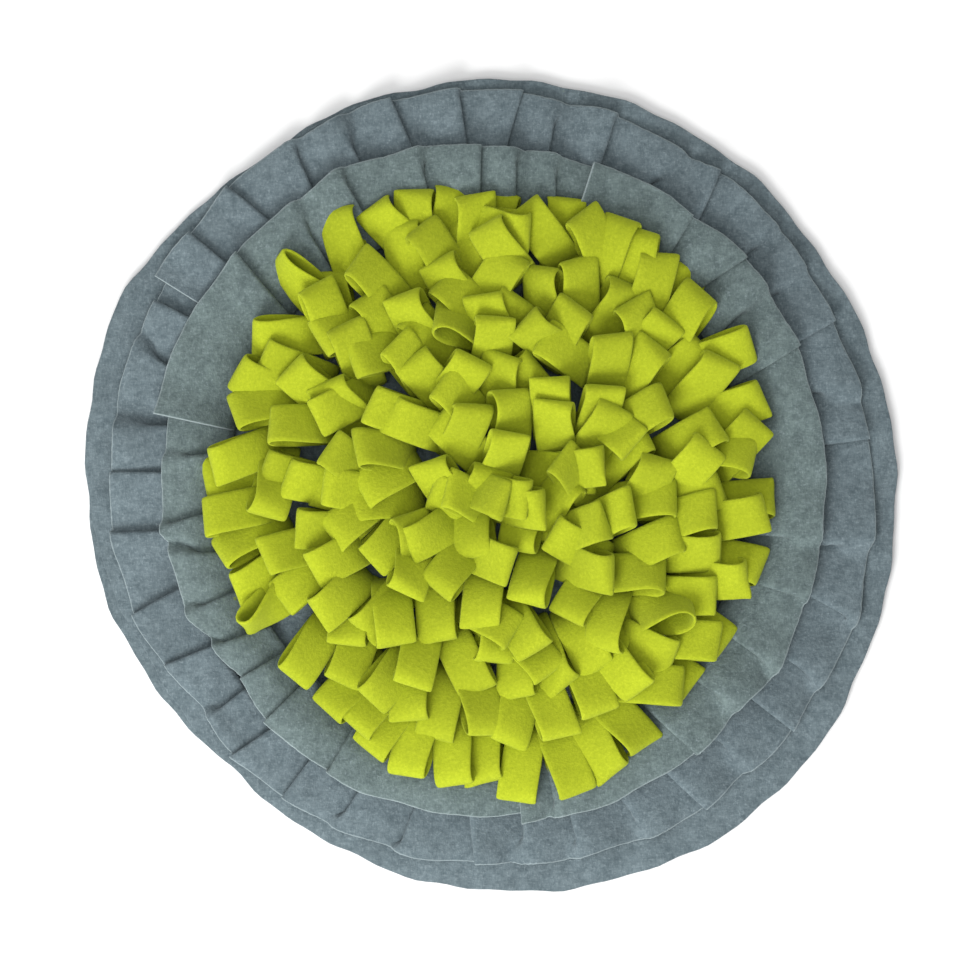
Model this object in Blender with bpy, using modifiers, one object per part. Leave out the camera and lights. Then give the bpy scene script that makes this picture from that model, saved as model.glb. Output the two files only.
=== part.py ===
# Round snuffle mat: two fleece discs, two pleated frills, and rounds of folded strips
# sewn down from the rim to the centre. Metres, +Z up, standing on z = 0.
import math
import random
from collections import namedtuple

import bmesh
import bpy

GAP = 0.0003  # left between pieces that touch
DISC_CLOTH = 0.002  # thickness of the two discs
FRILL_CLOTH = 0.0016
STRIP_CLOTH = 0.002

DISC_RADIUS = 0.2488
DISC_CORNERS = 60
DISC_RIPPLE = 0.0007
DISC_RIPPLES = 17

Swell = namedtuple("Swell", "angle spread height")  # degrees, degrees, metres
OUTLINE_SWELLS = (
    Swell(33, 12, -0.0022),
    Swell(127, 13, -0.0036),
    Swell(155, 12, 0.0040),
    Swell(228, 30, -0.0125),
    Swell(311, 30, 0.0095),
)
UPPER_DISC_SWELLS = (Swell(115, 20, -0.0030), Swell(203, 20, -0.0070))
LOWER_DISC_SHRINK = 0.0018  # the lower disc's edge lies this far in where the upper one hides it

# A frill is one long strip. Each row of its table is a pleat, which lies over the pleat
# before it: where the fold shows, how far out it reaches, and how far the cloth tucks under.
Pleat = namedtuple("Pleat", "angle edge tuck")
OUTER_SEAM_RADIUS = 0.193
OUTER_ENDS = (146.0, 508.0)
OUTER_PLEATS = (
    Pleat(151, 0.2335, 0.008),
    Pleat(160, 0.2345, 0.008),
    Pleat(170, 0.2330, 0.007),
    Pleat(178, 0.2315, 0.009),
    Pleat(188, 0.2330, 0.008),
    Pleat(199, 0.2315, 0.009),
    Pleat(210, 0.2275, 0.009),
    Pleat(220, 0.2235, 0.006),
    Pleat(228, 0.2295, 0.009),
    Pleat(237, 0.2290, 0.010),
    Pleat(247, 0.2300, 0.008),
    Pleat(257, 0.2315, 0.008),
    Pleat(267, 0.2325, 0.010),
    Pleat(276, 0.2330, 0.007),
    Pleat(284, 0.2345, 0.008),
    Pleat(293, 0.2370, 0.008),
    Pleat(302, 0.2385, 0.008),
    Pleat(312, 0.2375, 0.007),
    Pleat(321, 0.2395, 0.010),
    Pleat(330, 0.2380, 0.008),
    Pleat(341, 0.2400, 0.008),
    Pleat(350, 0.2370, 0.007),
    Pleat(367, 0.2350, 0.009),
    Pleat(376, 0.2340, 0.006),
    Pleat(385, 0.2345, 0.009),
    Pleat(394, 0.2355, 0.006),
    Pleat(402, 0.2385, 0.006),
    Pleat(412, 0.2385, 0.009),
    Pleat(422, 0.2370, 0.007),
    Pleat(431, 0.2395, 0.008),
    Pleat(440, 0.2400, 0.007),
    Pleat(447, 0.2415, 0.007),
    Pleat(454, 0.2430, 0.007),
    Pleat(463, 0.2440, 0.010),
    Pleat(472, 0.2440, 0.007),
    Pleat(481, 0.2435, 0.008),
    Pleat(490, 0.2425, 0.008),
    Pleat(500, 0.2405, 0.007),
)
OUTER_FRILL_END_LIFT = 0.0045

# The inner frill is three strips. A lifted end lies over the strip next to it.
Strip = namedtuple("Strip", "name start start_lift end end_lift pleats")
INNER_SEAM_RADIUS = 0.170
INNER_REST_RADIUS = 0.190  # from here out, the inner frill lies on the outer one
INNER_REST_HEIGHT = 0.0088
INNER_STRIPS = (
    Strip("inner_frill_right", 275.5, 0.0045, 432.0, 0.0045, (
        Pleat(282, 0.2075, 0.006),
        Pleat(306, 0.2075, 0.007),
        Pleat(317, 0.2060, 0.006),
        Pleat(328, 0.2090, 0.006),
        Pleat(340, 0.2070, 0.007),
        Pleat(350, 0.2055, 0.006),
        Pleat(383, 0.2065, 0.009),
        Pleat(394, 0.2085, 0.007),
        Pleat(403, 0.2095, 0.007),
        Pleat(412, 0.2070, 0.008),
    )),
    Strip("inner_frill_top", 70.5, 0.0, 168.0, 0.0045, (
        Pleat(77, 0.2050, 0.006),
        Pleat(85, 0.2070, 0.006),
        Pleat(92, 0.2070, 0.008),
        Pleat(102, 0.2105, 0.006),
        Pleat(115, 0.2130, 0.007),
        Pleat(126, 0.2105, 0.006),
        Pleat(139, 0.2090, 0.009),
    )),
    Strip("inner_frill_left", 165.5, 0.0, 278.0, 0.0, (
        Pleat(174, 0.1995, 0.006),
        Pleat(186, 0.2015, 0.007),
        Pleat(194, 0.1990, 0.006),
        Pleat(203, 0.2010, 0.006),
        Pleat(212, 0.1945, 0.006),
        Pleat(219, 0.1930, 0.006),
        Pleat(227, 0.1985, 0.009),
        Pleat(241, 0.2020, 0.007),
    )),
)
LAYER_GAP = 0.0005
FOLD_RISE = 2.7  # over 2, so that a fold clears the panel that slopes down beneath it
FOLD_ROOM = 0.0004  # the sharpest tucks reach this far below their layer
LONGEST_PANEL = 9.9  # degrees between two bends of the cloth
PANEL_SINKS_OVER = 12.0  # degrees over which a long panel sinks from its fold to what it lies on
TUCKED_EDGE_DROP = 0.0015  # a tuck's edge lies this much further in than the fold over it

# Strips are folded in half, and both ends are sewn down at the seam radius. A row's strips
# are joined along its seam, in arcs. Open strips stand apart, each with a clear hollow.
Row = namedtuple(
    "Row",
    "number strips arcs seam tip_radius tip_height root_width spread scatter open_strips round_top",
)
ROWS = (
    Row(1, 40, 4, 0.150, 0.184, 0.030, 0.0210, 0.0038, 0.0030, 0, True),
    Row(2, 36, 4, 0.129, 0.159, 0.036, 0.0205, 0.0044, 0.0030, 0, True),
    Row(3, 28, 4, 0.108, 0.133, 0.041, 0.0215, 0.0050, 0.0035, 4, False),
    Row(4, 24, 4, 0.087, 0.108, 0.044, 0.0200, 0.0050, 0.0030, 4, False),
    Row(5, 18, 2, 0.067, 0.083, 0.046, 0.0205, 0.0050, 0.0025, 0, False),
    Row(6, 12, 4, 0.047, 0.059, 0.047, 0.0205, 0.0045, 0.0025, 4, False),
    Row(7, 7, 1, 0.029, 0.038, 0.048, 0.0200, 0.0042, 0.0020, 0, False),
    Row(8, 3, 1, 0.010, 0.017, 0.047, 0.0170, 0.0040, 0.0010, 0, False),
)
STRIP_WIDTH = 0.0246
SEAM_ALLOWANCE = 0.006  # the sewn-down ends, measured across the seam
SHOULDER = 0.62  # share of a loop's length at which its two layers stand furthest apart
SHOULDER_TWIST = 0.6
MOST_TWIST = math.radians(9)
MOST_SWAY = 0.0009
OPEN_SPREAD = 0.0072
OPEN_LEAN = 0.016  # at most how far an open strip's fold lies outside its seam
OPEN_DROP = 0.002  # how much lower and further in than its row an open strip's fold lies
SEED = 5

LIME = (0.42, 0.50, 0.025, 1.0)
GREY = (0.155, 0.205, 0.235, 1.0)
GREY_GREEN = (0.165, 0.220, 0.225, 1.0)


def clear_scene():
    for obj in list(bpy.data.objects):
        bpy.data.objects.remove(obj, do_unlink=True)


def make_material(name, colour):
    material = bpy.data.materials.new(name)
    material.use_nodes = True
    shader = material.node_tree.nodes["Principled BSDF"]
    shader.inputs["Base Color"].default_value = colour
    shader.inputs["Roughness"].default_value = 0.95
    shader.inputs["Metallic"].default_value = 0.0
    material.diffuse_color = colour
    return material


def at(angle, radius, height):
    """A point at this angle in degrees, radius and height."""
    turn = math.radians(angle)
    return (radius * math.cos(turn), radius * math.sin(turn), height)


def swell_height(swells, angle):
    total = 0.0
    for swell in swells:
        away = (angle - swell.angle + 180) % 360 - 180
        total += swell.height * math.exp(-((away / swell.spread) ** 2))
    return total


def disc_outline(shown_by):
    """The corners of a disc. shown_by gives how far its edge lies from the mat's outline."""
    corners = []
    for step in range(DISC_CORNERS):
        angle = 360 * step / DISC_CORNERS
        radius = DISC_RADIUS + swell_height(OUTLINE_SWELLS, angle) + shown_by(angle)
        radius += DISC_RIPPLE * math.sin(math.radians(DISC_RIPPLES * angle))
        corners.append(at(angle, radius, 0.0))
    return corners


def upper_outline():
    return disc_outline(lambda angle: swell_height(UPPER_DISC_SWELLS, angle))


def lower_outline():
    deepest = min(swell.height for swell in UPPER_DISC_SWELLS)
    return disc_outline(
        lambda angle: -LOWER_DISC_SHRINK * (1 - swell_height(UPPER_DISC_SWELLS, angle) / deepest)
    )


def middle_of(points):
    """The middle of the points' extent in X and Y."""
    xs = [point[0] for point in points]
    ys = [point[1] for point in points]
    return (max(xs) + min(xs)) / 2, (max(ys) + min(ys)) / 2


def place(obj, collection, frame, material):
    collection.objects.link(obj)
    obj.parent = frame
    obj.data.materials.append(material)
    return obj


def make_disc(name, outline, height):
    """A flat disc of cloth whose underside is at this height."""
    curve = bpy.data.curves.new(name, "CURVE")
    curve.dimensions = "2D"
    curve.fill_mode = "BOTH"
    curve.extrude = DISC_CLOTH / 2
    spline = curve.splines.new("POLY")
    spline.points.add(len(outline) - 1)
    for point, (x, y, _) in zip(spline.points, outline):
        point.co = (x, y, 0.0, 1.0)
    spline.use_cyclic_u = True
    disc = bpy.data.objects.new(name, curve)
    disc.location.z = height + DISC_CLOTH / 2
    return disc


def cloth_from(name, columns_of_quads, thickness):
    """A sheet through these quads of points, with the cloth's thickness."""
    mesh = bpy.data.meshes.new(name)
    sheet = bmesh.new()
    corner_at = {}
    for quad in columns_of_quads:
        corners = []
        for point in quad:
            if point not in corner_at:
                corner_at[point] = sheet.verts.new(point)
            corners.append(corner_at[point])
        sheet.faces.new(corners)
    bmesh.ops.recalc_face_normals(sheet, faces=sheet.faces)
    sheet.to_mesh(mesh)
    sheet.free()
    cloth = bpy.data.objects.new(name, mesh)
    solidify = cloth.modifiers.new("cloth thickness", "SOLIDIFY")
    solidify.thickness = thickness
    solidify.offset = 0.0
    solidify.use_even_offset = True
    return cloth


def steps_across(degrees):
    return math.ceil(degrees / LONGEST_PANEL)


def panel(line, steps, radius, end_angle, end_height, flat_height):
    """Lays the line on to a new point in steps, sinking to flat_height on the way."""
    start_angle, start_radius, start_height = line[-1]
    room = end_angle - start_angle
    for step in range(1, steps):
        share = step / steps
        sunk = min(1.0, room * share / PANEL_SINKS_OVER)
        line.append(
            (
                start_angle + room * share,
                start_radius + (radius - start_radius) * share,
                start_height + (flat_height - start_height) * sunk,
            )
        )
    line.append((end_angle, radius, end_height))


def frill_section(pleats, fixed_radius, lowest, start, end):
    """The cloth's middle line around the mat, as (angle, radius, height), at one distance out.

    It runs at fixed_radius or, where that is None, along the pleats' own edges. start and end
    are each (angle, lift).
    """
    layer = FRILL_CLOTH + LAYER_GAP
    line = [(start[0], fixed_radius or pleats[0].edge, lowest + start[1])]
    angles = [start[0], *(pleat.angle for pleat in pleats), end[0]]
    for number, pleat in enumerate(pleats):
        radius = fixed_radius or pleat.edge
        tucked_radius = fixed_radius or pleat.edge - TUCKED_EDGE_DROP
        tuck = math.degrees(pleat.tuck / radius)
        narrowest = min(angles[number + 1] - angles[number], angles[number + 2] - angles[number + 1])
        share = tuck / (min(narrowest, PANEL_SINKS_OVER) + tuck)
        rise = FOLD_RISE * layer * share / (1 - share)
        steps = steps_across(angles[number + 1] - angles[number])
        back = pleat.angle + tuck
        panel(line, steps, tucked_radius, back, lowest, lowest)
        line.append((back, tucked_radius, lowest + layer))
        line.append((pleat.angle, radius, lowest + layer + rise))
        line.append((pleat.angle, radius, lowest + 2 * layer + rise))
    steps = steps_across(angles[-1] - angles[-2])
    panel(line, steps, fixed_radius or pleats[-1].edge, end[0], lowest + end[1], lowest)
    return line


def make_frill(name, pleats, start, end, stations):
    """A pleated strip through stations, each (radius, or None for the pleats' edges; lowest height)."""
    sections = [frill_section(pleats, radius, low, start, end) for radius, low in stations]
    quads = []
    for inner, outer in zip(sections, sections[1:]):
        for column in range(len(inner) - 1):
            quads.append(
                (
                    at(*inner[column]),
                    at(*outer[column]),
                    at(*outer[column + 1]),
                    at(*inner[column + 1]),
                )
            )
    return cloth_from(name, quads, FRILL_CLOTH)


def mitred(line, distance):
    """A closed line of (x, z) corners, moved outwards by this distance."""
    moved = []
    for number, (x, z) in enumerate(line):
        before = line[number - 1]
        after = line[(number + 1) % len(line)]
        normals = []
        for (x0, z0), (x1, z1) in ((before, (x, z)), ((x, z), after)):
            length = math.hypot(x1 - x0, z1 - z0)
            normals.append(((z1 - z0) / length, -(x1 - x0) / length))
        (ax, az), (bx, bz) = normals
        reach = distance / (1 + ax * bx + az * bz)
        moved.append((x + reach * (ax + bx), z + reach * (az + bz)))
    return moved


def strip_corners(row, angle, seam_height, twist, sway, tip_radius, tip_height, spread):
    """A folded strip's corners, for each of its two edges: those of its outer face, then its hollow's.

    Each list runs from the inner end, over the fold, to the outer end.
    """
    lean = tip_radius - row.seam
    rise = tip_height - seam_height
    length = math.hypot(lean, rise)
    across_x, across_z = rise / length, -lean / length  # square to the strip's length

    def spot(share, off):
        return (lean * share + off * across_x, rise * share + off * across_z)

    half_seam = SEAM_ALLOWANCE / 2
    if row.round_top:
        turned = (0.0, SHOULDER_TWIST, 1.0, SHOULDER_TWIST, 0.0)
        middle = [spot(SHOULDER, -spread), spot(1.0, 0.0), spot(SHOULDER, spread)]
    else:
        turned = (0.0, 1.0, 1.0, 0.0)
        middle = [spot(1.0, -spread), spot(1.0, spread)]
    line = [(-half_seam, 0.0), *middle, (half_seam, 0.0)][::-1]
    around = math.radians(angle)
    edges = []
    for side in (-1, 1):
        faces = []
        for distance in (STRIP_CLOTH / 2, -STRIP_CLOTH / 2):
            corners = []
            for (x, z), twisted in zip(mitred(line, distance), turned):
                half = (row.root_width + (STRIP_WIDTH - row.root_width) * twisted) / 2
                share = z / rise
                middle_x = lean * share if twisted else 0.0
                turn = twist * twisted
                off = x - middle_x
                radial = row.seam + middle_x + off * math.cos(turn) - side * half * math.sin(turn)
                along = sway * share + off * math.sin(turn) + side * half * math.cos(turn)
                corners.append(
                    (
                        radial * math.cos(around) - along * math.sin(around),
                        radial * math.sin(around) + along * math.cos(around),
                        seam_height + z,
                    )
                )
            faces.append(corners)
        edges.append(faces)
    return edges


def strips_of(row, seam_height, chance):
    """Each strip of a row: whether it stands open, and its corners."""
    strips = []
    for number in range(row.strips):
        is_open = row.open_strips and number % (row.strips // row.open_strips) == 0
        twist = chance.uniform(-MOST_TWIST, MOST_TWIST)
        sway = chance.uniform(-MOST_SWAY, MOST_SWAY)
        tip_radius = row.tip_radius + chance.uniform(-row.scatter, row.scatter)
        tip_height = row.tip_height + chance.uniform(-row.scatter, row.scatter)
        spread = row.spread
        if is_open:
            twist = 0.0
            sway = 0.0
            tip_radius = min(row.seam + OPEN_LEAN, row.tip_radius - OPEN_DROP)
            tip_height = row.tip_height - OPEN_DROP
            spread = OPEN_SPREAD
        angle = 360 * number / row.strips
        corners = strip_corners(
            row, angle, seam_height, twist, sway, tip_radius, tip_height, spread
        )
        strips.append((is_open, corners))
    return strips


def join_strips(name, strips):
    """One body of folded strips side by side, joined by their sewn-down ends."""
    mesh = bpy.data.meshes.new(name)
    body = bmesh.new()
    built = [
        [[[body.verts.new(co) for co in face] for face in edge] for edge in strip]
        for strip in strips
    ]
    for number, ((near_out, near_in), (far_out, far_in)) in enumerate(built):
        count = len(near_out)
        for this in range(count):
            following = (this + 1) % count
            body.faces.new(
                (near_out[this], far_out[this], far_out[following], near_out[following])
            )
            body.faces.new((near_in[this], near_in[following], far_in[following], far_in[this]))
            sewn_down = following == 0
            if not (sewn_down and number > 0):
                body.faces.new(
                    (near_out[this], near_out[following], near_in[following], near_in[this])
                )
            if not (sewn_down and number + 1 < len(built)):
                body.faces.new((far_out[this], far_in[this], far_in[following], far_out[following]))
        if number + 1 < len(built):
            next_out, next_in = built[number + 1][0]
            here = (far_out[-1], far_out[0], far_in[0], far_in[-1])
            there = (next_out[-1], next_out[0], next_in[0], next_in[-1])
            for this in range(4):
                following = (this + 1) % 4
                body.faces.new((here[this], there[this], there[following], here[following]))
    bmesh.ops.recalc_face_normals(body, faces=body.faces)
    body.to_mesh(mesh)
    body.free()
    return bpy.data.objects.new(name, mesh)


def make_row(row, seam_height, chance):
    """A row's arcs of joined strips and its open strips."""
    strips = strips_of(row, seam_height, chance)
    made = []
    per_arc = row.strips // row.arcs
    for arc in range(row.arcs):
        part = strips[arc * per_arc : (arc + 1) * per_arc]
        number = f"_arc{arc + 1}" if row.arcs > 1 else ""
        joined = [corners for is_open, corners in part if not is_open]
        made.append(join_strips(f"strips_row{row.number}{number}", joined))
        for is_open, corners in part:
            if is_open:
                made.append(join_strips(f"open_strip_row{row.number}_{arc + 1}", [corners]))
    return made


def main():
    clear_scene()
    collection = bpy.data.collections.new("snuffle_mat")
    bpy.context.scene.collection.children.link(collection)
    lime = make_material("lime_fleece", LIME)
    grey = make_material("grey_fleece", GREY)
    grey_green = make_material("grey_green_fleece", GREY_GREEN)

    upper = upper_outline()
    lower = lower_outline()
    middle_x, middle_y = middle_of(upper + lower)
    frame = bpy.data.objects.new("mat_frame", None)
    frame.location = (-middle_x, -middle_y, 0.0)
    collection.objects.link(frame)

    upper_disc_height = DISC_CLOTH + GAP
    on_the_disc = upper_disc_height + DISC_CLOTH + GAP
    place(make_disc("base_lower", lower, 0.0), collection, frame, grey)
    place(make_disc("base_upper", upper, upper_disc_height), collection, frame, grey)

    lowest = on_the_disc + FRILL_CLOTH / 2 + FOLD_ROOM
    outer = make_frill(
        "outer_frill",
        OUTER_PLEATS,
        (OUTER_ENDS[0], 0.0),
        (OUTER_ENDS[1], OUTER_FRILL_END_LIFT),
        ((OUTER_SEAM_RADIUS, lowest), (None, lowest)),
    )
    place(outer, collection, frame, grey)

    over_outer = lowest + INNER_REST_HEIGHT
    for strip in INNER_STRIPS:
        frill = make_frill(
            strip.name,
            strip.pleats,
            (strip.start, strip.start_lift),
            (strip.end, strip.end_lift),
            (
                (INNER_SEAM_RADIUS, lowest),
                (INNER_REST_RADIUS, over_outer),
                (None, over_outer),
            ),
        )
        place(frill, collection, frame, grey_green)

    chance = random.Random(SEED)
    seam_height = on_the_disc + STRIP_CLOTH / 2
    for row in ROWS:
        for obj in make_row(row, seam_height, chance):
            place(obj, collection, frame, lime)


main()
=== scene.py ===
import math
import random

import bpy
import numpy as np
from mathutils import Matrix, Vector


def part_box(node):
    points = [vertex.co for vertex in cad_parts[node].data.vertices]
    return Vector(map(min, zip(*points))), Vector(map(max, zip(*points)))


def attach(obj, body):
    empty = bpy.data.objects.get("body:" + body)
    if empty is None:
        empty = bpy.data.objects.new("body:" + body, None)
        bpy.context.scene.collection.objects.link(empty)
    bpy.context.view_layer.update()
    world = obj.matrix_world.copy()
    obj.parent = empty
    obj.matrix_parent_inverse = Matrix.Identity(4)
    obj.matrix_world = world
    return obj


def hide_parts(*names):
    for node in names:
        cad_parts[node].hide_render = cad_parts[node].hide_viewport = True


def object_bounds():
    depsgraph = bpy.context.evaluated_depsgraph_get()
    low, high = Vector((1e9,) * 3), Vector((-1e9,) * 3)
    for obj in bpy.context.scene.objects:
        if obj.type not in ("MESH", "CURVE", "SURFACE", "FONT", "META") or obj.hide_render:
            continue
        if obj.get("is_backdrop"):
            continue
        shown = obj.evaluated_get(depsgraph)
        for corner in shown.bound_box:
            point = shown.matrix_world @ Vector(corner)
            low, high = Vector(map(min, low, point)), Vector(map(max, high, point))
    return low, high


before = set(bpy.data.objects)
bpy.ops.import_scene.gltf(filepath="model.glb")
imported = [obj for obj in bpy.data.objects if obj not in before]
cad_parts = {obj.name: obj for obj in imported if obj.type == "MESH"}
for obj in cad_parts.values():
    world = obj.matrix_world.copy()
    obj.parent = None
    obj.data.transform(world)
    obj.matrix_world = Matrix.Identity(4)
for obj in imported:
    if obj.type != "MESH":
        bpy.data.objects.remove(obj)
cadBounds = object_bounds()
print("frame loaded")


def nodeMiddle(node):
    low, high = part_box(node)
    return (Vector(low) + Vector(high)) / 2


# the rounds are sewn about the middle of the four open strips in row 3
east, north, west, south = (nodeMiddle(f"open_strip_row3_{n}") for n in (1, 2, 3, 4))
seamCentre = np.array([(east.x + west.x) / 2, (north.y + south.y) / 2, 0.0])
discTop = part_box("base_upper")[1][2]


class Wire:
    # a shader socket that can stand in sums: wire * 2 + other
    def __init__(self, tree, socket):
        self.tree = tree
        self.socket = socket

    def combine(self, operation, first, second):
        node = self.tree.nodes.new("ShaderNodeMath")
        node.operation = operation
        for slot, value in zip(node.inputs, (first, second)):
            if isinstance(value, Wire):
                self.tree.links.new(value.socket, slot)
            else:
                slot.default_value = value
        return Wire(self.tree, node.outputs[0])

    def __add__(self, other):
        return self.combine("ADD", self, other)

    def __radd__(self, other):
        return self.combine("ADD", other, self)

    def __sub__(self, other):
        return self.combine("SUBTRACT", self, other)

    def __rsub__(self, other):
        return self.combine("SUBTRACT", other, self)

    def __mul__(self, other):
        return self.combine("MULTIPLY", self, other)

    def __rmul__(self, other):
        return self.combine("MULTIPLY", other, self)


class Maker:
    # one material and its nodes
    def __init__(self, name):
        self.material = bpy.data.materials.new(name)
        self.material.use_nodes = True
        self.tree = self.material.node_tree
        self.shader = self.tree.nodes["Principled BSDF"]

    def node(self, kind, settings=None, sockets=None, output=0):
        node = self.tree.nodes.new(kind)
        for key, value in (settings or {}).items():
            setattr(node, key, value)
        for key, value in (sockets or {}).items():
            self.feed(node.inputs[key], value)
        return Wire(self.tree, node.outputs[output])

    def feed(self, socket, value):
        if isinstance(value, Wire):
            self.tree.links.new(value.socket, socket)
        else:
            socket.default_value = value

    def noise(self, coordinates, scale, detail, roughness, stretch=None):
        if stretch:
            squeeze, rotation = stretch
            turned = {"Vector": coordinates, "Scale": squeeze, "Rotation": rotation}
            coordinates = self.node("ShaderNodeMapping", {}, turned)
        sockets = {"Vector": coordinates, "Scale": scale, "Detail": detail, "Roughness": roughness}
        return self.node("ShaderNodeTexNoise", {}, sockets)

    def mix(self, share, first, second, blend="MIX"):
        node = self.tree.nodes.new("ShaderNodeMix")
        node.data_type = "RGBA"
        node.blend_type = blend
        self.feed(node.inputs[0], share)
        self.feed(node.inputs[6], first)
        self.feed(node.inputs[7], second)
        return Wire(self.tree, node.outputs[2])

    def remap(self, wire, low, high, toLow=0.0, toHigh=1.0):
        sockets = {"Value": wire, "From Min": low, "From Max": high, "To Min": toLow, "To Max": toHigh}
        return self.node("ShaderNodeMapRange", {}, sockets)


# colours are linear, and the other values are strengths from 0 to 1
limeFleece = {
    "lit": (0.335, 0.390, 0.0150, 1.0),
    "deep": (0.270, 0.322, 0.0120, 1.0),
    "pale": (0.410, 0.465, 0.033, 1.0),
    # edge: the colour of a painted highlight along the cut edges, which stands in for light caught there
    "edge": (0.50, 0.57, 0.06, 1.0),
    "sheen": 0.15,
    "sheenTint": (0.80, 0.95, 0.25, 1.0),
    "bump": 0.45,
    "melange": 0.35,
    "blotch": 0.10,
    "cloud": 0.03,
    "lint": 0.0,
}
greyFleece = {
    "lit": (0.141, 0.181, 0.197, 1.0),
    "deep": (0.070, 0.096, 0.108, 1.0),
    "pale": (0.205, 0.250, 0.270, 1.0),
    # edge: the colour of a painted highlight along the cut edges, which stands in for light caught there
    "edge": (0.330, 0.390, 0.400, 1.0),
    "sheen": 0.12,
    "sheenTint": (0.80, 0.88, 0.92, 1.0),
    "bump": 0.65,
    "melange": 0.60,
    "blotch": 0.75,
    "cloud": 0.09,
    "lint": 1.0,
}
greyGreenFleece = dict(greyFleece, lit=(0.139, 0.183, 0.180, 1.0), deep=(0.071, 0.097, 0.098, 1.0))
# how many spots of each kind lie along a metre
grain = {"fibreA": 1100.0, "fibreB": 1000.0, "tuft": 520.0, "blotch": 150.0, "cloud": 45.0, "lint": 34.0}


def makeFleece(name, look):
    maker = Maker(name)
    spot = maker.node("ShaderNodeTexCoord", output=3)
    # brushed fibres lie every way, so two stretched noises cross
    fibresA = maker.noise(spot, grain["fibreA"], 2.0, 0.6, ((1.0, 0.30, 1.0), (0.0, 0.0, 0.6)))
    fibresB = maker.noise(spot, grain["fibreB"], 2.0, 0.6, ((0.30, 1.0, 1.0), (0.3, 0.0, -0.4)))
    tufts = maker.noise(spot, grain["tuft"], 3.0, 0.7)
    blotches = maker.noise(spot, grain["blotch"], 5.0, 0.72)
    clouds = maker.noise(spot, grain["cloud"], 3.0, 0.55)
    tone = maker.node("ShaderNodeAttribute", {"attribute_name": "tone"}, output=2)
    # cutEdge marks the cut edges that get a painted highlight
    cutEdge = maker.node("ShaderNodeAttribute", {"attribute_name": "cutEdge"}, output=2)
    fibre = (fibresA + fibresB) * 0.5
    blotch = look["blotch"]
    mottle = fibre * 0.4 + tufts * (0.6 - blotch * 0.6) + blotches * (blotch * 0.6)
    colour = maker.mix(maker.remap(mottle, 0.40, 0.60), look["deep"], look["lit"])
    pale = maker.remap(fibre * 0.4 + tufts * 0.6, 0.54, 0.68, 0.0, look["melange"])
    colour = maker.mix(pale, colour, look["pale"])
    # painted highlight: near a cut edge the colour goes towards the pale edge colour
    colour = maker.mix(maker.remap(cutEdge, 0.25, 1.0, 0.0, 0.65), colour, look["edge"])
    cloud = look["cloud"]
    shade = maker.remap(tone, 0.0, 1.0, 0.91, 1.06) * maker.remap(clouds, 0.3, 0.7, 1 - cloud, 1 + cloud)
    tint = maker.node("ShaderNodeCombineColor", {}, {0: shade, 1: shade, 2: shade})
    colour = maker.mix(1.0, colour, tint, "MULTIPLY")
    if look["lint"]:
        # a few specks of lime lint caught in the nap
        specks = maker.node("ShaderNodeTexVoronoi", {}, {"Vector": spot, "Scale": grain["lint"]})
        thinned = maker.noise(spot, 24.0, 1.0, 0.5)
        lint = (1 - maker.remap(specks, 0.03, 0.045)) * maker.remap(thinned, 0.56, 0.60)
        colour = maker.mix(lint * 0.8, colour, limeFleece["deep"])
    maker.feed(maker.shader.inputs["Base Color"], colour)
    height = fibre * 0.5 + tufts * 0.8 + blotches * blotch
    relief = {"Height": height, "Strength": look["bump"], "Distance": 0.0010}
    maker.feed(maker.shader.inputs["Normal"], maker.node("ShaderNodeBump", {}, relief))
    fixed = {
        "Roughness": 0.92,
        "Specular IOR Level": 0.12,
        "Sheen Weight": look["sheen"],
        "Sheen Roughness": 0.6,
        "Sheen Tint": look["sheenTint"],
    }
    for socket, value in fixed.items():
        maker.feed(maker.shader.inputs[socket], value)
    return maker.material


lime = makeFleece("limeFleece", limeFleece)
grey = makeFleece("greyFleece", greyFleece)
greyGreen = makeFleece("greyGreenFleece", greyGreenFleece)
print("materials made")


def selectOnly(piece):
    bpy.ops.object.select_all(action="DESELECT")
    piece.select_set(True)
    bpy.context.view_layer.objects.active = piece


def addPiece(name, points, faces, material):
    mesh = bpy.data.meshes.new(name)
    mesh.from_pydata([tuple(point) for point in points], [], [tuple(face) for face in faces])
    piece = bpy.data.objects.new(name, mesh)
    bpy.context.scene.collection.objects.link(piece)
    mesh.materials.append(material)
    return piece


def gridFaces(rows, columns, start=0):
    # quads of a grid of points that are numbered row by row
    row, column = np.meshgrid(np.arange(rows - 1), np.arange(columns - 1), indexing="ij")
    corner = (start + row * columns + column).ravel()
    return np.stack([corner, corner + 1, corner + columns + 1, corner + columns], axis=1)


def easeInOut(share):
    share = np.clip(share, 0, 1)
    return share * share * (3 - 2 * share)


def finishCloth(piece, thickness, levels=0, offset=0.0):
    selectOnly(piece)
    solid = piece.modifiers.new("clothThickness", "SOLIDIFY")
    solid.thickness = thickness
    solid.offset = offset
    solid.use_even_offset = True
    bpy.ops.object.modifier_apply(modifier=solid.name)
    if levels:
        smooth = piece.modifiers.new("softEdges", "SUBSURF")
        smooth.levels = smooth.render_levels = levels
        bpy.ops.object.modifier_apply(modifier=smooth.name)
    bpy.ops.object.shade_smooth()


def setTone(mesh, values):
    mesh.attributes.new("tone", "FLOAT", "POINT").data.foreach_set("value", values)


discs = {
    "radius": 0.2488,
    "thickness": 0.0020,
    "cutBevel": 0.0005,
    "sectors": 240,
    "rings": 14,
    # waves round the edge: how many, where they start in degrees, height
    "ripples": ((17, 0, 0.0007), (31, 40, 0.0005), (53, 0, 0.0004)),
    # where the edge lies further out or in: angle, spread in degrees, how far
    "swells": (
        (33, 12, -0.0022), (127, 13, -0.0036), (155, 12, 0.0040),
        (228, 30, -0.0125), (311, 30, 0.0095),
    ),
    "upperSwells": ((115, 20, -0.0030), (203, 20, -0.0070)),
    "lowerShrink": 0.0018,
    # past this radius the upper disc's edge is loose and waves by this much
    "looseFrom": 0.226,
    "edgeWave": 0.0016,
}


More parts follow.
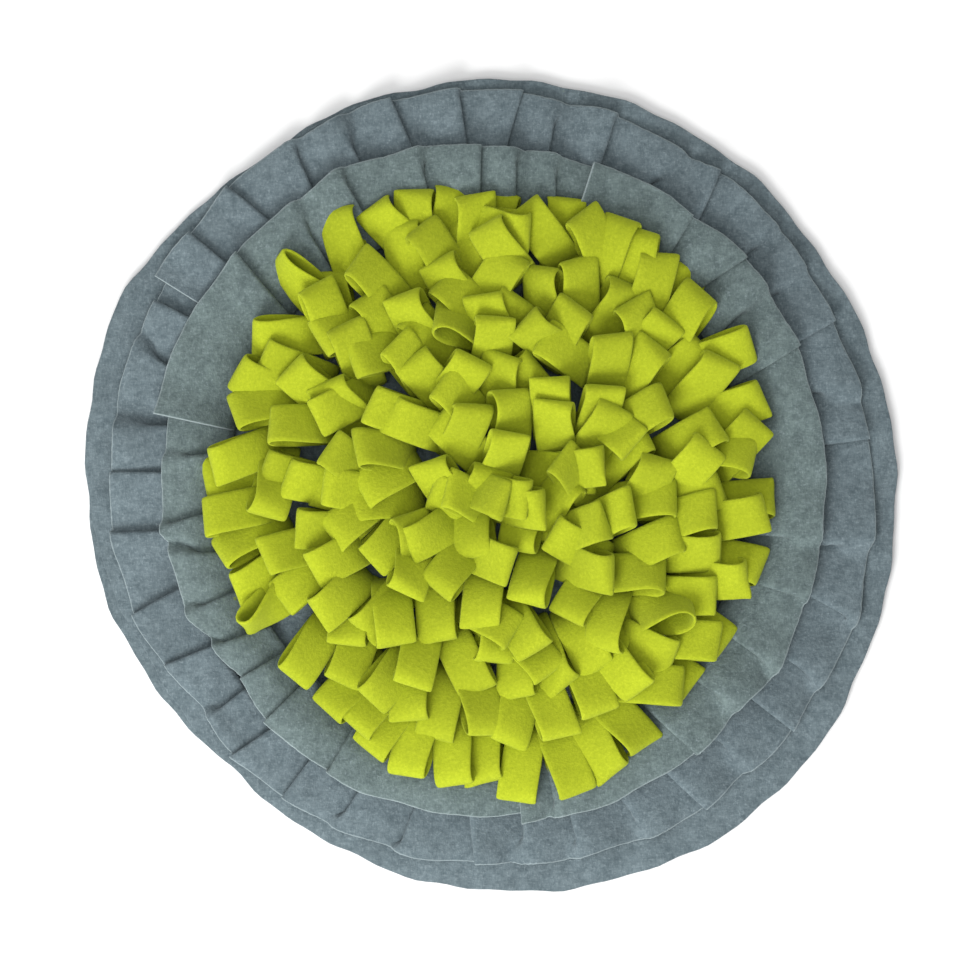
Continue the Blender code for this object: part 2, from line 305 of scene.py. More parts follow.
def swellHeight(swells, angle):
    total = np.zeros_like(angle)
    for middle, spread, height in swells:
        away = (angle - middle + 180) % 360 - 180
        total += height * np.exp(-((away / spread) ** 2))
    return total


def makeDisc(name, bottom, isUpper):
    angle = np.arange(discs["sectors"]) * 360 / discs["sectors"]
    upperSwell = swellHeight(discs["upperSwells"], angle)
    edge = discs["radius"] + swellHeight(discs["swells"], angle)
    for waves, start, size in discs["ripples"]:
        edge += size * np.sin(np.radians(waves * angle + start))
    if isUpper:
        edge += upperSwell
    else:
        deepest = min(swell[2] for swell in discs["upperSwells"])
        edge -= discs["lowerShrink"] * (1 - upperSwell / deepest)
    shares = np.linspace(0.12, 1.0, discs["rings"]) ** 0.8
    turn = np.radians(angle)
    points = [seamCentre + [0, 0, bottom]]
    for share in shares:
        radius = edge * share
        lift = np.zeros_like(angle)
        if isUpper:
            loose = np.clip((radius - discs["looseFrom"]) / 0.022, 0, 1) ** 2
            wave = 0.5 + 0.5 * np.sin(np.radians(11 * angle + 25)) * np.sin(np.radians(7 * angle))
            lift = loose * discs["edgeWave"] * wave
        circle = np.stack([radius * np.cos(turn), radius * np.sin(turn), bottom + lift], 1)
        points += list(circle + seamCentre)
    count = discs["sectors"]
    faces = []
    for n in range(count):
        following = (n + 1) % count
        faces.append((0, 1 + n, 1 + following))
        for ring in range(discs["rings"] - 1):
            near = 1 + ring * count
            faces.append((near + n, near + count + n, near + count + following, near + following))
    piece = addPiece(name, points, faces, grey)
    chance = np.random.default_rng(3)
    setTone(piece.data, 0.5 + chance.uniform(-0.02, 0.02, len(points)))
    finishCloth(piece, discs["thickness"], offset=1.0)
    selectOnly(piece)
    rim = piece.modifiers.new("cutEdge", "BEVEL")
    rim.width = discs["cutBevel"]
    rim.segments = 2
    rim.limit_method = "ANGLE"
    rim.angle_limit = math.radians(50)
    bpy.ops.object.modifier_apply(modifier=rim.name)
    return piece


baseLower = makeDisc("baseLower", 0.0, False)
baseUpper = makeDisc("baseUpper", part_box("base_upper")[0][2], True)
for piece, node in ((baseLower, "base_lower"), (baseUpper, "base_upper")):
    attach(piece, "root")
    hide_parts(node)
print("discs made")

frillCloth = {
    "thickness": 0.0017,
    "layerGap": 0.0006,
    "edgeDrop": 0.0015,
    "ridge": 0.0056,
    "panelStep": 4.5,  # degrees
    "stations": (0.0, 0.12, 0.25, 0.38, 0.5, 0.62, 0.74, 0.85, 0.93, 0.975, 1.0),  # shares of the way out
    "skew": 3.2,  # degrees a pleat may lean to one side on its way out
    "sinks": (11.0, 8.5, 8.5),  # degrees in which a panel sinks beside its fold, in turn
    "lastSinks": 9.0,
    "waver": 0.0007,
    # a tuck that has opened, across its ridge: degrees from the pleat, share of the ridge's height
    "ridgeShape": ((-2.2, 0.0), (-1.3, 0.25), (-0.3, 0.8), (0.9, 1.0)),
}
# the ends of a frill are an angle and a lift, twice; each pleat is its angle, edge radius,
# tuck at the seam, and how far it has opened at the edge (0 to 1)
outerFrill = {
    "seam": 0.193,
    "ends": (146.0, 0.0, 508.0, 0.0045),
    "pleats": (
        (151, 0.2335, 0.008, 0.3), (160, 0.2345, 0.008, 0.7), (170, 0.2330, 0.007, 0.8),
        (178, 0.2315, 0.009, 0.3), (188, 0.2330, 0.008, 0.4), (199, 0.2315, 0.009, 0.2),
        (210, 0.2275, 0.009, 0.2), (220, 0.2235, 0.006, 0.6), (228, 0.2295, 0.009, 0.1),
        (237, 0.2290, 0.010, 0.0), (247, 0.2300, 0.008, 0.6), (257, 0.2315, 0.008, 0.5),
        (267, 0.2325, 0.010, 0.0), (276, 0.2330, 0.007, 0.7), (284, 0.2345, 0.008, 0.6),
        (293, 0.2370, 0.008, 0.7), (302, 0.2385, 0.008, 0.3), (312, 0.2375, 0.007, 0.8),
        (321, 0.2395, 0.010, 0.1), (330, 0.2380, 0.008, 0.6), (341, 0.2400, 0.008, 0.5),
        (350, 0.2370, 0.007, 0.8), (367, 0.2350, 0.009, 0.1), (376, 0.2340, 0.006, 0.9),
        (385, 0.2345, 0.009, 0.2), (394, 0.2355, 0.006, 0.9), (402, 0.2385, 0.006, 0.8),
        (412, 0.2385, 0.009, 0.3), (422, 0.2370, 0.007, 0.9), (431, 0.2395, 0.008, 0.4),
        (440, 0.2400, 0.007, 0.6), (447, 0.2415, 0.007, 0.0), (454, 0.2430, 0.007, 0.4),
        (463, 0.2440, 0.010, 0.1), (472, 0.2440, 0.007, 0.7), (481, 0.2435, 0.008, 0.5),
        (490, 0.2425, 0.008, 0.3), (500, 0.2405, 0.007, 0.3),
    ),
}
innerFrill = {
    "seam": 0.159,
    "depth": 0.048,
    # from this radius out it lies on the outer frill, this much higher
    "rest": 0.190,
    "restHeight": 0.0092,
    "strips": {
        "innerFrillRight": (
            "inner_frill_right", (275.5, 0.0045, 432.0, 0.0045),
            (
                (282, 0.2075, 0.006, 0.5), (306, 0.2075, 0.007, 0.4), (317, 0.2060, 0.006, 0.7),
                (328, 0.2090, 0.006, 0.6), (340, 0.2070, 0.007, 0.5), (350, 0.2055, 0.006, 0.8),
                (383, 0.2065, 0.009, 0.1), (394, 0.2085, 0.007, 0.8), (403, 0.2095, 0.007, 0.3),
                (412, 0.2070, 0.008, 0.1),
            ),
        ),
        "innerFrillTop": (
            "inner_frill_top", (70.5, 0.0, 168.0, 0.0045),
            (
                (77, 0.2050, 0.006, 0.6), (85, 0.2070, 0.006, 0.5), (92, 0.2070, 0.008, 0.0),
                (102, 0.2105, 0.006, 0.6), (115, 0.2130, 0.007, 0.5), (126, 0.2105, 0.006, 0.7),
                (139, 0.2090, 0.009, 0.0),
            ),
        ),
        "innerFrillLeft": (
            "inner_frill_left", (165.5, 0.0, 278.0, 0.0),
            (
                (174, 0.1995, 0.006, 0.7), (186, 0.2015, 0.007, 0.5), (194, 0.1990, 0.006, 0.7),
                (203, 0.2010, 0.006, 0.6), (212, 0.1945, 0.006, 0.5), (219, 0.1930, 0.006, 0.3),
                (227, 0.1985, 0.009, 0.0), (241, 0.2020, 0.007, 0.4),
            ),
        ),
    },
}


def frillLine(pleats, ends, fixedRadius, lowest, outward, skews):
    # the cloth's middle line round the mat at one distance out, as (angle, radius, height);
    # a tuck turns back under its fold, and where it has opened it is a soft ridge
    layer = frillCloth["thickness"] + frillCloth["layerGap"]
    startAngle, startLift, endAngle, endLift = ends
    angles = [startAngle, *(pleat[0] for pleat in pleats), endAngle]
    line = [(startAngle, fixedRadius or pleats[0][1], lowest + startLift)]

    def layPanel(angle, radius, height, degrees, sinks):
        fromAngle, fromRadius, fromHeight = line[-1]
        steps = max(3, math.ceil(degrees / frillCloth["panelStep"]))
        for step in range(1, steps):
            share = step / steps
            sunk = easeInOut((angle - fromAngle) * share / sinks)
            stepAngle = fromAngle + (angle - fromAngle) * share
            stepRadius = fromRadius + (radius - fromRadius) * share
            line.append((stepAngle, stepRadius, fromHeight + (lowest - fromHeight) * sunk))
        line.append((angle, radius, height))

    for number, (angle, edge, tuck, opened) in enumerate(pleats):
        radius = fixedRadius or edge
        under = fixedRadius or edge - frillCloth["edgeDrop"]
        # where along the way out the tuck starts to open, and how far it is open here
        begins = 1.15 - 1.1 * opened
        loose = easeInOut((outward - begins) / 0.45)
        turned = math.degrees(tuck / radius)
        gaps = (angles[number + 1] - angles[number], angles[number + 2] - angles[number + 1], 12)
        share = turned / (min(gaps) + turned)
        rise = 2.5 * layer * share / (1 - share)
        top = 2 * layer + rise
        crest = frillCloth["ridge"] * (0.7 + 0.6 * ((number * 7) % 5) / 4)
        middle = layer + rise - layer * 0.3
        slide = skews[number] * (outward - 0.35)
        folded = ((turned, 0.0), (turned, layer), (0.0, middle), (0.0, top))
        points = []
        for (tightAngle, tightHeight), (openAngle, openShare) in zip(folded, frillCloth["ridgeShape"]):
            aside = tightAngle + (openAngle - tightAngle) * loose
            above = tightHeight + (crest * openShare - tightHeight) * loose
            points.append((angle + slide + aside, lowest + above))
        sinks = frillCloth["sinks"][number % 3]
        layPanel(points[0][0], under, points[0][1], angles[number + 1] - angles[number], sinks)
        line.append((points[1][0], under, points[1][1]))
        line.append((points[2][0], radius, points[2][1]))
        line.append((points[3][0], radius, points[3][1]))
    endRadius = fixedRadius or pleats[-1][1]
    layPanel(endAngle, endRadius, lowest + endLift, endAngle - angles[-2], frillCloth["lastSinks"])
    return np.array(line)


def cutCorners(line, times):
    # rounds a line's corners, keeping its two ends
    for _ in range(times):
        near = line[:-1] * 0.75 + line[1:] * 0.25
        far = line[:-1] * 0.25 + line[1:] * 0.75
        line = np.concatenate([line[:1], np.stack([near, far], 1).reshape(-1, 3), line[-1:]])
    return line


def makeFrill(name, pleats, ends, material, stationAt, seed):
    chance = np.random.default_rng(seed)
    phases = chance.uniform(0, 2 * math.pi, 8)
    skews = chance.uniform(-frillCloth["skew"], frillCloth["skew"], len(pleats))
    waver = frillCloth["waver"]
    grid = []
    for outward in frillCloth["stations"]:
        blend, fixedRadius, lowest = stationAt(outward)
        line = frillLine(pleats, ends, None, lowest, outward, skews)
        if blend < 1:
            pressed = frillLine(pleats, ends, fixedRadius, lowest, outward, skews)
            line = pressed * (1 - blend) + line * blend
        line = cutCorners(line, 2)
        turn = np.radians(line[:, 0])
        wave = np.sin(turn * 19 + phases[0]) + np.sin(turn * 31 + phases[1]) * 0.7
        radius = line[:, 1] + (wave * waver + chance.uniform(-0.0002, 0.0002, len(turn))) * outward
        lift = np.sin(turn * 23 + phases[2]) * np.sin(turn * 9 + phases[3]) + 1
        lift += 0.6 * np.sin(turn * 41 + phases[4] + outward * 2) + 0.6
        # the edge itself droops a little
        droop = 0.0012 * max(0.0, outward - 0.85) / 0.15
        height = line[:, 2] + lift * waver * outward - droop
        grid.append(np.stack([radius * np.cos(turn), radius * np.sin(turn), height], 1))
    grid = np.array(grid)
    rows, columns, _ = grid.shape
    piece = addPiece(name, grid.reshape(-1, 3) + seamCentre, gridFaces(rows, columns), material)
    setTone(piece.data, np.full(rows * columns, 0.5))
    # cutEdge marks the outer edge and both ends, where the fleece material paints a highlight
    cutEdge = np.zeros((rows, columns))
    cutEdge[-1] = 1
    cutEdge[:, (0, -1)] = 1
    piece.data.attributes.new("cutEdge", "FLOAT", "POINT").data.foreach_set("value", cutEdge.ravel())
    finishCloth(piece, frillCloth["thickness"])
    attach(piece, "root")
    return piece


clothFloor = discTop + frillCloth["thickness"] / 2 + frillCloth["layerGap"]


# at one share of the way out: share of the way from the seam to each pleat's own edge, seam radius,
# and the cloth's lowest height
def outerStation(outward):
    return outward, outerFrill["seam"], clothFloor


def innerStation(outward):
    rest = (innerFrill["rest"] - innerFrill["seam"]) / innerFrill["depth"]
    climb = easeInOut(outward / rest)
    return outward, innerFrill["seam"], clothFloor + innerFrill["restHeight"] * climb


outer = makeFrill("outerFrill", outerFrill["pleats"], outerFrill["ends"], grey, outerStation, 1)
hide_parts("outer_frill")
for number, (name, (node, ends, pleats)) in enumerate(innerFrill["strips"].items()):
    piece = makeFrill(name, pleats, ends, greyGreen, innerStation, 10 + number)
    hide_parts(node)
print("frills made")

strips = {
    "width": 0.0250,
    "rootWidth": 0.0235,
    "thickness": 0.0021,
    "length": 0.050,  # from the seam to the fold
    "along": 20,  # quads from one sewn end to the other
    "across": 5,
    "seamHalf": 0.0034,  # half the space between the two sewn ends
    "belly": 0.0050,  # half the loop's thickness where it is widest
    "bellyAt": 0.74,  # share of the way to the fold
    "flare": (0.25, 0.75),  # how much wider the loop stands at one end
    "tilt": (3, 24),  # degrees
    "middleHeight": 0.050,  # of the folds, dropping to the edge height
    "edgeHeight": 0.0215,
    "edgeRadius": 0.19,
    "foldReach": 0.060,  # a fold's height and what shows behind it add up to this at most
    # the more of a strip shows behind its fold, the further it leans over, in degrees
    "leans": ((0.008, 12), (0.014, 30), (0.020, 54), (0.026, 76), (0.034, 88)),
    "linePoints": 60,
    "seed": 8,
}
# Each strip's fold, in millimetres from the middle: its two ends, then how much of the strip
# shows behind it (less than zero where it leans inwards), and, where they aren't the usual,
# its extra height, its roll in degrees and how wide the loop stands open.
folds = [
    # middle
    (-58, -27, -45, -50, 24), (-23, 12, -35, -10, 18), (22, -40, 13, -63, 16),
    (19, 1, 9, -24, 9), (31, 3, 25, -24, 10), (40, -3, 35, -30, 10, 0, 0, 5),
    (29, -38, 41, -16, -26, 0, 0, 5), (29, 12, 52, 30, -20), (-68, 32, -59, 56, 26, 2, 0, 5),
    (-40, 36, -25, 51, 28, -1, 0, 5), (-20, 57, 6, 46, 20, 2), (3, 39, 27, 31, 17, 3),
    (23, 53, 53, 56, 15), (22, 68, 50, 70, 12), (-7, 20, 17, 6, 24, -4),
    (-20, -48, 4, -46, 24, -3), (-86, 6, -72, -17, 34, 3), (-61, -17, -36, -12, -26, -2),
    (-45, -57, -24, -74, 24), (2, 62, 24, 62, 20, -2, 25, 7), (-41, 57, -22, 75, 18),
    # upper left
    (-107, 168, -81, 175, 35, -4), (-84, 163, -66, 181, 20), (-92, 130, -73, 148, 26, 2),
    (-136, 134, -123, 146, 34, -2, -60, 4.5), (-109, 132, -90, 136, 14, -10),
    (-119, 119, -93, 129, 27, 2, 0, 5), (-146, 101, -145, 78, 34, -5), (-146, 67, -137, 91, 18, 3),
    (-133, 63, -116, 83, 20, 3), (-162, 59, -152, 82, 22), (-162, 56, -154, 30, 28, -2),
    (-112, 99, -104, 75, 12, 2), (-101, 97, -76, 106, 14, 4), (-91, 87, -84, 62, 16),
    (-89, 112, -63, 127, 12), (-68, 111, -44, 125, 17, 3), (-112, 56, -93, 73, 16),
    (-71, 83, -47, 99, 18, 2), (-60, 70, -41, 88, 12),
    # top
    (-59, 183, -33, 184, 20, 2), (-34, 187, -6, 182, 24, -5), (-22, 181, 6, 181, 17, 3),
    (-5, 185, 22, 180, 16, -5), (9, 163, 28, 178, 32), (36, 180, 60, 177, 18, -3),
    (44, 162, 66, 173, 30, 1), (31, 163, 25, 138, -21, 3), (-24, 164, 0, 164, 36, -7),
    (-14, 153, 7, 167, 32, 2, 0, 6), (-54, 153, -33, 167, 22, 3, 0, 5), (-66, 160, -43, 164, 30, -6),
    (-45, 133, -25, 146, 15, 1), (-39, 116, -21, 136, 32), (-19, 114, 7, 124, 16, 1),
    (5, 150, 27, 135, 30, 1), (-9, 107, 19, 103, 15, 4, 0, 5), (-38, 97, -33, 111, 24, 0, 40, 5),
    (-58, 98, -40, 114, 24, -7), (24, 112, 8, 88, 12, 1), (22, 135, 40, 137, 22, -3, -35, 5),
    (40, 140, 68, 141, 24), (44, 119, 66, 107, 18, 2), (22, 81, 37, 103, 24), (-1, 84, 18, 82, 20, -4),
    (-17, 88, 5, 72, 20, 1),
    # upper right
    (71, 169, 94, 159, 32), (82, 159, 103, 156, 28, 1, 0, 5), (91, 146, 118, 139, 30, 2),
    (119, 142, 138, 127, 16, -5), (121, 127, 141, 114, 30, 1, -18, 8), (76, 132, 98, 120, 18, -2),
    (74, 112, 98, 119, 20, 1, 0, 5), (103, 113, 122, 93, 16, 3), (62, 97, 89, 93, 22, 1),
    (92, 97, 114, 81, 22), (157, 99, 166, 75, 32), (135, 87, 154, 71, 22, 3),
    (128, 95, 140, 80, 20, -5),
    # left
    (-135, 50, -135, 23, 30, 2), (-113, 50, -101, 27, 26, 1), (-80, 39, -73, 61, 12),
    (-109, 15, -91, 37, 18, 3), (-85, 9, -83, 37, 24, 3), (-175, 22, -165, -3, 28, 1),
    (-178, 14, -178, -5, 20, -6), (-178, -7, -172, -34, 36, -1), (-144, -2, -137, 24, 13, 1),
    (-129, -6, -125, 16, 22), (-106, -11, -102, 12, 14, 1), (-148, -21, -122, -26, 19, 3, 0, 6),
    (-120, -13, -121, -40, 16, 1), (-144, -31, -137, -58, 22, 1), (-171, -36, -160, -52, 32, -3, 35, 4.5),
    (-162, -56, -149, -77, 28, -2), (-137, -61, -119, -81, 32), (-115, -42, -103, -65, 26, 2),
    (-107, -22, -88, -44, 30, 2), (-89, 1, -86, -25, 26, -6), (-82, -41, -64, -57, 26, -1),
    # right
    (67, 57, 90, 43, 26, 2), (103, 65, 117, 41, 26), (100, 32, 83, 11, 12, 1), (94, 25, 117, 13, 26, 1),
    (72, 25, 75, -1, 15), (135, 49, 147, 28, 28, -1, 0, 5.5), (126, 35, 146, 18, 28, 3),
    (157, 49, 175, 32, 26, 1), (165, 67, 174, 40, 30, -4), (167, 28, 162, 4, 24, 1, 0, 6),
    (174, 7, 177, -21, 30, -5), (168, -3, 173, -29, 32, 1), (137, -1, 144, -25, 24, 3),
    (141, 12, 147, -15, 26, -3), (115, 4, 117, -18, 26, -2, 0, 6), (85, 1, 96, -21, 16, 2),
    (70, -7, 79, -31, 14, 0, 0, 6), (113, -16, 123, -39, 32, 3), (82, -44, 75, -68, 20, 1),
    (109, -41, 109, -67, 28), (142, -27, 143, -53, 30), (140, -55, 140, -79, 28, -3),
    (172, -38, 167, -63, 26, -4), (160, -45, 160, -70, 24, 2), (59, 67, 85, 60, 14),
    # lower left
    (-153, -84, -146, -92, 34, -1, -62, 3.5), (-132, -112, -109, -127, 28), (-114, -72, -97, -91, 28, 1),
    (-100, -98, -75, -103, 14), (-101, -120, -80, -128, 24, -6), (-111, -131, -93, -149, 22, -4),
    (-94, -142, -75, -158, 20, 2), (-87, -156, -64, -172, 26, -3), (-83, -125, -63, -141, 28, 1),
    (-87, -84, -70, -100, 22, -2),
    # bottom
    (-68, -101, -43, -98, 30, 3, 0, 7), (-40, -98, -22, -97, 26, -5), (-64, -67, -37, -72, 20, 2),
    (-20, -88, 8, -91, 28, 3, 0, 6), (25, -79, 12, -103, 22), (19, -111, 41, -97, 18, 2),
    (30, -126, 50, -108, 16), (35, -133, 58, -122, 16, -2), (55, -120, 78, -109, 34),
    (-17, -133, 7, -121, 36, 2), (-59, -122, -35, -127, 24, 3, 0, 5), (-62, -146, -36, -147, 22, 1, 0, 5),
    (-47, -153, -21, -159, 36, -2), (-13, -157, 12, -151, 26, 1), (4, -131, 29, -132, 28, -4),
    (-2, -157, 24, -163, 30, -4), (33, -160, 58, -150, 28, 1), (43, -194, 67, -185, 36),
    (3, -192, 29, -196, 32), (-33, -185, -8, -184, 30, 1), (-12, -184, 6, -183, 30, -4),
    (-64, -175, -38, -182, 32, -1), (34, -76, 55, -90, 24, 0, 20, 5), (61, -101, 77, -104, 30, 1, 30, 8),
    (8, -71, 33, -79, 20, 1),
    # lower right
    (124, -64, 127, -84, 36, 5, -55, 7), (119, -93, 109, -118, 34, 1), (83, -135, 103, -118, 30, 2),
    (143, -82, 142, -108, 26, 2), (155, -88, 141, -109, 22, -4), (121, -109, 120, -135, 26, 1),
    (135, -112, 121, -135, 22, -4), (57, -146, 81, -137, 24, 2), (107, -151, 88, -169, 32, -3),
    (66, -184, 87, -172, 32, 0, 15, 5),
    # low in the gaps between the others
    (-50, 10, -30, 24, 22, -3), (-42, -14, -34, 10, 20, -6), (42, 14, 62, 0, 24, -8),
    (68, 18, 66, -6, 22, -9), (-10, -108, 14, -112, 26, -4), (14, 124, 28, 108, 24, -6),
    (4, -40, 26, -46, 22, -5), (26, 84, 40, 66, 22, -6), (90, 44, 106, 26, 22, -6),
    (-106, 12, -112, -12, 26, -6),
]
# from the rim to the middle: strips in each row, and the CAD's arcs and open strips that it replaces
rowCounts = (43, 39, 30, 26, 20, 12, 7, 3)
rowArcs = (4, 4, 4, 4, 2, 4, 1, 1)
rowOpens = (0, 0, 4, 4, 0, 4, 0, 0)


def bendTo(root, tip, final, early, late):
    # a strip's middle line, rising from its seam and ending at its fold
    share = np.linspace(0, 1, strips["linePoints"])[:, None]
    first = root + np.array([0, 0, early])
    second = tip - final * late
    return (
        root * (1 - share) ** 3
        + first * 3 * share * (1 - share) ** 2
        + second * 3 * share**2 * (1 - share)
        + tip * share**3
    )


def lengthsAlong(line):
    return np.concatenate([[0], np.cumsum(np.linalg.norm(np.diff(line, axis=0), axis=1))])


def spreadEvenly(line, count, *others):
    # the line at evenly spaced points, with other values that run along it, and the spacing
    lengths = lengthsAlong(line)
    evenly = np.linspace(0, lengths[-1], count)
    spread = []
    for values in (line, *others):
        columns = values.reshape(len(line), -1).T
        spread.append(np.stack([np.interp(evenly, lengths, column) for column in columns], 1))
    return spread, evenly


def fitLine(tip, outward, final, height, shows):
    # puts the seam where the middle line has the strip's length
    near, far = 0.0, 0.055
    for _ in range(14):
        back = (near + far) / 2
        root = np.array([*(tip[:2] - outward * back), discTop + 0.0015])
        line = bendTo(root, tip, final, height * 0.36, min(shows * 0.95, 0.033))
        if lengthsAlong(line)[-1] < strips["length"]:
            near = back
        else:
            far = back
    return line, math.hypot(*root[:2])


def loopHalf(share, belly):
    # half the loop's thickness, from its seam to its fold
    seamHalf, peak = strips["seamHalf"], strips["bellyAt"]
    rising = seamHalf + (belly - seamHalf) * np.sin(share / peak * math.pi / 2) ** 1.4
    rounded = belly * np.sqrt(np.clip(1 - ((share - peak) / (1 - peak)) ** 2, 0, 1))
    return np.where(share < peak, rising, rounded)


def thereAndBack(up, down):
    # one row of values up to the fold and the other back down from it
    return np.concatenate([up, down[::-1][1:]])


def foldedStrip(fold, chance):
    # one strip folded in half, as a grid of points along and across it
    ends = np.array(fold[:4], float).reshape(2, 2) / 1000
    shows = fold[4] / 1000
    lift, roll, belly = (tuple(fold[5:]) + (0, 0, strips["belly"] * 1000)[len(fold) - 5 :])[:3]
    belly = belly / 1000 * chance.uniform(0.85, 1.15)
    middle = ends.mean(axis=0)
    along = ends[1] - ends[0]
    along /= np.linalg.norm(along)
    outward = np.array([along[1], -along[0]])
    if np.dot(outward, middle) < 0:
        outward, along = -outward, -along
    if shows < 0:
        outward, along, shows = -outward, -along, -shows

    # the tip of the middle line, and which way the strip points there
    out = math.hypot(*middle) / strips["edgeRadius"]
    height = strips["middleHeight"] + (strips["edgeHeight"] - strips["middleHeight"]) * out**1.5
    height = min(height, strips["foldReach"] - shows) + lift / 1000 + chance.uniform(-0.001, 0.001)
    lean = math.radians(np.interp(shows, *zip(*strips["leans"])))
    final = np.array([*(outward * math.sin(lean)), math.cos(lean)])
    tip = np.array([*middle, height]) - final * 0.001
    tip[:2] -= outward * belly * math.cos(lean)
    line, rootOut = fitLine(tip, outward, final, height, shows)
    (line,), evenly = spreadEvenly(line, strips["linePoints"])
    share = evenly / evenly[-1]
    tangent = np.gradient(line, axis=0)
    tangent /= np.linalg.norm(tangent, axis=1)[:, None]

    # the strip's width turns from its seam's way to its fold's
    yaw = math.radians(chance.uniform(-8, 8))
    turnedX = along[0] * math.cos(yaw) - along[1] * math.sin(yaw)
    turnedY = along[0] * math.sin(yaw) + along[1] * math.cos(yaw)
    atSeam = np.array([turnedX, turnedY, 0.0])
    # unless it is set, a fold tilts a little to one side and shows its tube from the higher end
    tilt = chance.uniform(*strips["tilt"]) * chance.choice((-1, 1))
    rolled = math.radians(roll or tilt)
    level = np.array([*along, 0.0])
    atFold = level * math.cos(rolled) + np.cross(final, level) * math.sin(rolled)
    turned = easeInOut(share)[:, None]
    across = atSeam * (1 - turned) + atFold * turned
    across -= tangent * (across * tangent).sum(axis=1)[:, None]
    across /= np.linalg.norm(across, axis=1)[:, None]
    normal = np.cross(tangent, across)

    # up one side of the middle line, round the fold and down the other
    half = loopHalf(share, belly)
    path = thereAndBack(line - normal * half[:, None], line + normal * half[:, None])
    widthWay = thereAndBack(across, across)
    bulge = thereAndBack(-normal, normal)
    pathShare = thereAndBack(share, share)
    pathHalf = thereAndBack(half, half)
    spread, evenly = spreadEvenly(path, strips["along"] + 1, widthWay, bulge, pathShare, pathHalf)
    path, widthWay, bulge, pathShare, pathHalf = spread
    taper = np.clip(pathShare * 2.2, 0, 1)
    width = strips["rootWidth"] + (strips["width"] - strips["rootWidth"]) * taper
    offsets = np.linspace(-0.5, 0.5, strips["across"] + 1)
    points = path[:, None, :] + widthWay[:, None, :] * (width * offsets)[:, :, None]

    # each strip is dished, curls along its edges, stands wider at one end and slumps a little
    dish = chance.uniform(-0.5, 1.2) / 1000
    curl = chance.uniform(-1.1, 1.1) / 1000
    slump = chance.uniform(-0.16, 0.16)
    flare = math.copysign(chance.uniform(*strips["flare"]), atFold[2])
    swell = dish * (0.25 - offsets**2) * 4 + curl * offsets * 2 * np.sin(pathShare * 5)
    swell = swell * pathShare + pathHalf * flare * 2 * offsets * pathShare
    points += bulge[:, None, :] * swell[:, :, None]
    sideways = offsets * width.mean() * slump * pathShare**2
    points[:, :, :2] += outward * sideways[:, :, None]
    return points, evenly[-1], rootOut


def layStrips():
    chance = random.Random(strips["seed"])
    laid = []
    for fold in folds:
        points, long, rootOut = foldedStrip(fold, chance)
        laid.append({"points": points + seamCentre, "length": long, "rootOut": rootOut})
    laid.sort(key=lambda strip: -strip["rootOut"])
    order = iter(laid)
    for row, count in enumerate(rowCounts):
        for _ in range(count):
            next(order)["row"] = row
    print(len(laid), "strips laid")
    return laid


def makeRow(number, members, arcs, opens, tones):
    rows, columns = strips["along"] + 1, strips["across"] + 1
    each = rows * columns
    points = np.concatenate([strip["points"].reshape(-1, 3) for strip in members])
    faces = np.concatenate([gridFaces(rows, columns, n * each) for n in range(len(members))])
    piece = addPiece(f"stripsRow{number}", points, faces, lime)
    setTone(piece.data, np.repeat(tones, each))
    finishCloth(piece, strips["thickness"], levels=1)
    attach(piece, "root")
    nodes = [f"strips_row{number}_arc{n + 1}" for n in range(arcs)]
    if arcs == 1:
        nodes = [f"strips_row{number}"]
    nodes += [f"open_strip_row{number}_{n + 1}" for n in range(opens)]
    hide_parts(*nodes)


laidStrips = layStrips()
toneChance = np.random.default_rng(4)
for row, (arcs, opens) in enumerate(zip(rowArcs, rowOpens)):
    members = [strip for strip in laidStrips if strip["row"] == row]
    makeRow(row + 1, members, arcs, opens, toneChance.uniform(0, 1, len(members)))
print("strips made")


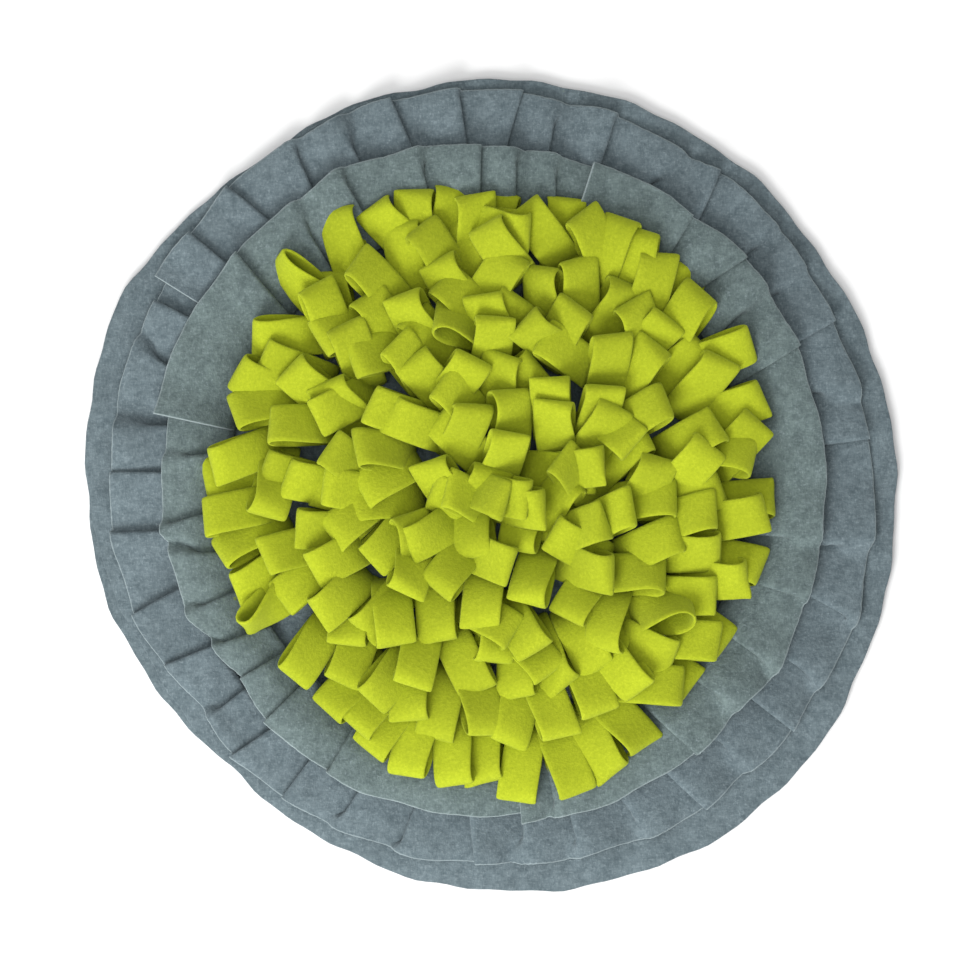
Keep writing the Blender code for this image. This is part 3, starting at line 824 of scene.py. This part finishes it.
# each lamp: azimuth and elevation in degrees, distance, size, power in watts
studio = {
    "lamps": {
        "keyLight": (246, 38, 1.9, 1.1, 39),
        "sideLight": (196, 22, 1.9, 0.9, 5),
        "topLight": (200, 80, 2.4, 1.8, 14),
    },
    "ambient": 0.70,
    "paper": 0.80,
    "cameraHeight": 2.2,
    "cameraAside": (0.0006, -0.0031),
    "fieldWidth": 0.5960,
    "fieldHeight": 0.02,  # the level at which the field has that width
    "sensor": 36,
}


def addFloor():
    bpy.ops.object.select_all(action="DESELECT")
    bpy.ops.mesh.primitive_plane_add(size=6, location=(0, 0, 0))
    floor = bpy.context.active_object
    floor.name = "floor"
    maker = Maker("palePaper")
    maker.feed(maker.shader.inputs["Base Color"], (*[studio["paper"]] * 3, 1))
    maker.feed(maker.shader.inputs["Roughness"], 0.9)
    floor.data.materials.append(maker.material)
    floor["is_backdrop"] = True


def addLamp(name, azimuth, elevation, distance, size, power):
    lamp = bpy.data.lights.new(name, "AREA")
    lamp.shape = "DISK"
    lamp.size = size
    lamp.energy = power
    holder = bpy.data.objects.new(name, lamp)
    bpy.context.scene.collection.objects.link(holder)
    turn, rise = math.radians(azimuth), math.radians(elevation)
    level = math.cos(rise)
    direction = Vector((math.cos(turn) * level, math.sin(turn) * level, math.sin(rise)))
    holder.location = direction * distance
    holder.rotation_euler = direction.to_track_quat("Z", "Y").to_euler()


def addWorld():
    world = bpy.data.worlds.new("studio")
    world.use_nodes = True
    background = world.node_tree.nodes["Background"]
    background.inputs["Color"].default_value = (1, 1, 1, 1)
    background.inputs["Strength"].default_value = studio["ambient"]
    bpy.context.scene.world = world
    bpy.context.scene.view_settings.view_transform = "Standard"


def addCamera():
    lens = bpy.data.cameras.new("camera")
    holder = bpy.data.objects.new("camera", lens)
    bpy.context.scene.collection.objects.link(holder)
    height = studio["cameraHeight"]
    lens.sensor_width = studio["sensor"]
    lens.lens = studio["sensor"] * (height - studio["fieldHeight"]) / studio["fieldWidth"]
    aside = studio["cameraAside"]
    holder.location = (seamCentre[0] + aside[0], seamCentre[1] + aside[1], height)
    bpy.context.scene.camera = holder


addFloor()
for name, settings in studio["lamps"].items():
    addLamp(name, *settings)
addWorld()
addCamera()
print("stage set")

sizes = {"cad": cadBounds, "visual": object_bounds()}
sizes = {key: [list(corner) for corner in box] for key, box in sizes.items()}
